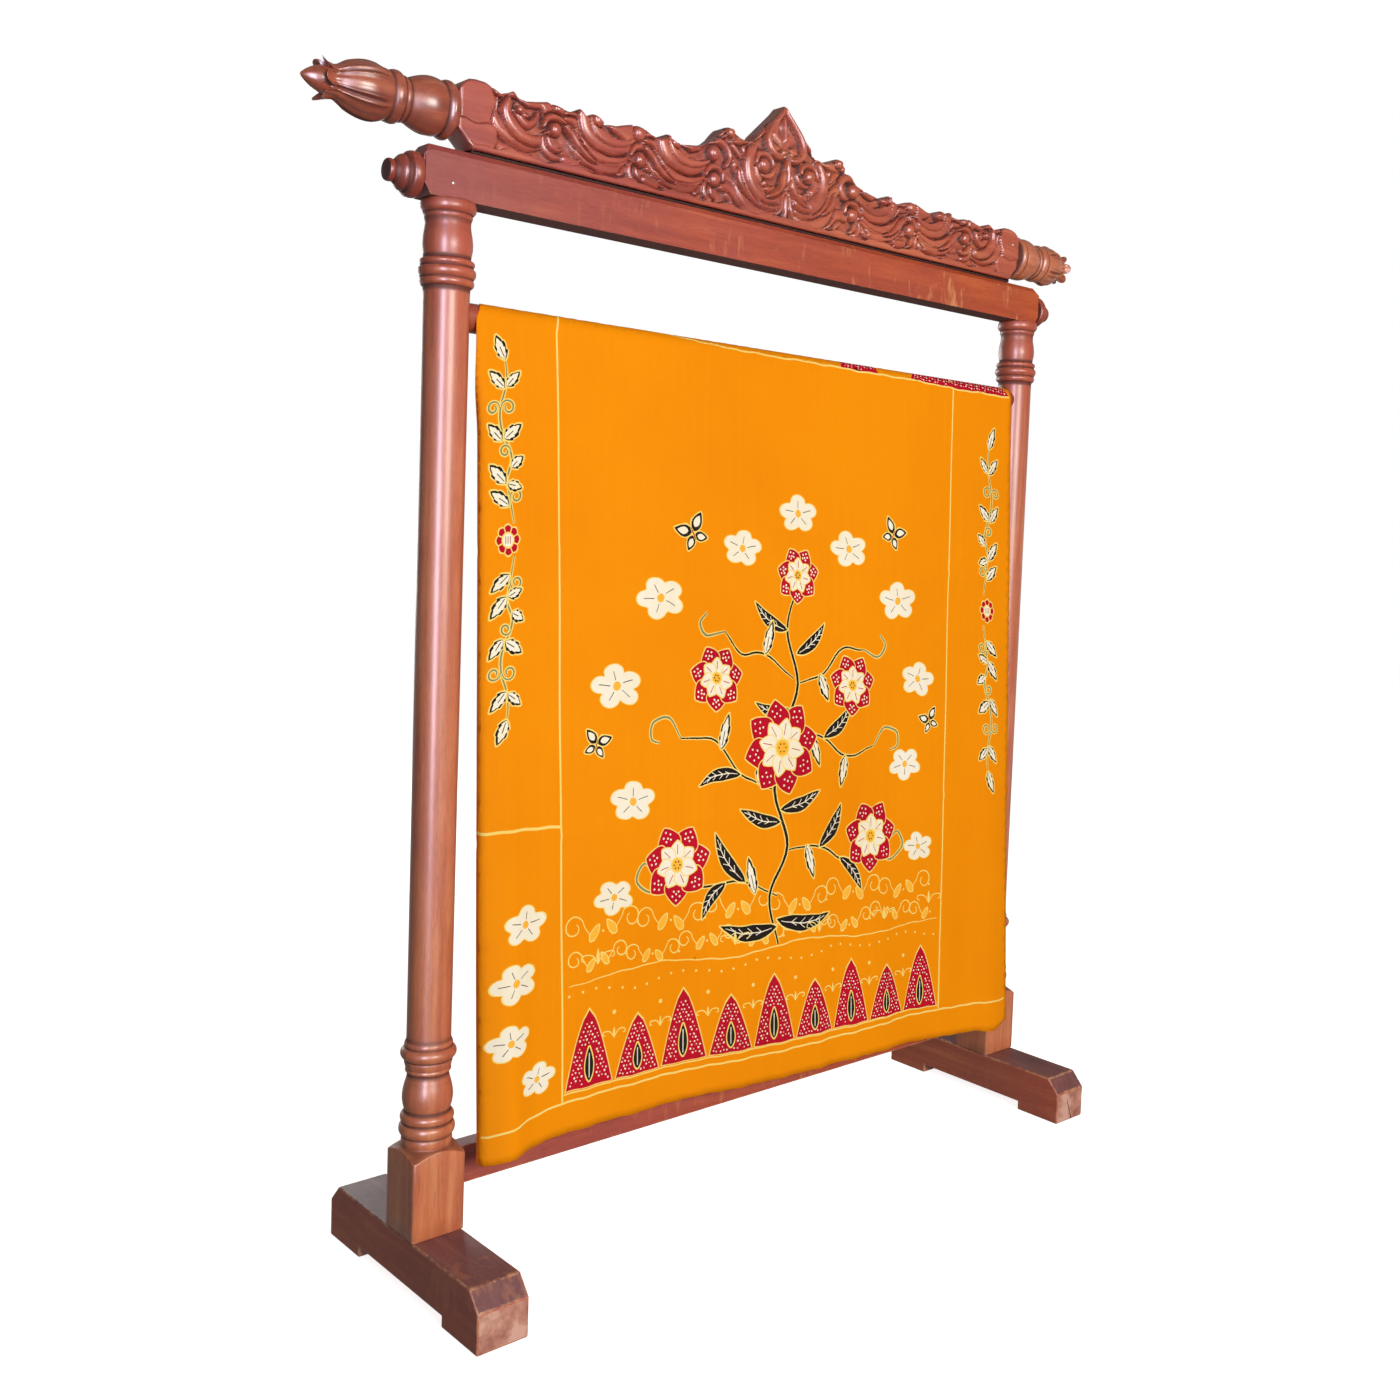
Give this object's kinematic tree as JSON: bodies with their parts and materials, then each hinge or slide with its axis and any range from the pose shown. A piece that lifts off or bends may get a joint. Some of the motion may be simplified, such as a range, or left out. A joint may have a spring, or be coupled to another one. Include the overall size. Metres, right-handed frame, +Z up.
{
  "type": "batik cloth on a carved wooden display stand",
  "caption": "Batik cloth draped over the round rail of a freestanding wooden display stand with turned posts, carved crest and bud finials.",
  "frame": {"origin": "on the floor, below the middle of the whole object", "axes": "+X along the stand's width, to the right as seen from the front; -Y towards the front; +Z up"},
  "size_m": [1.5486, 0.42, 1.738],
  "materials": {
    "batik_cotton": "wax-resist dyed plain-weave cotton, matte",
    "turned_wood": "turned hardwood under glossy red-brown varnish",
    "sawn_wood": "planed hardwood under satin red-brown varnish, worn at the edges",
    "carved_wood": "hand-carved hardwood under glossy red-brown varnish"
  },
  "bodies": {
    "root": {"cloth": "batik_cotton", "rail": "turned_wood", "post_left": "turned_wood", "post_right": "turned_wood", "knob_left": "turned_wood", "knob_right": "turned_wood", "finial_left": "turned_wood", "finial_right": "turned_wood", "foot_left": "sawn_wood", "foot_right": "sawn_wood", "stretcher": "sawn_wood", "beam": "sawn_wood", "crest": "carved_wood"}
  },
  "joints": []
}
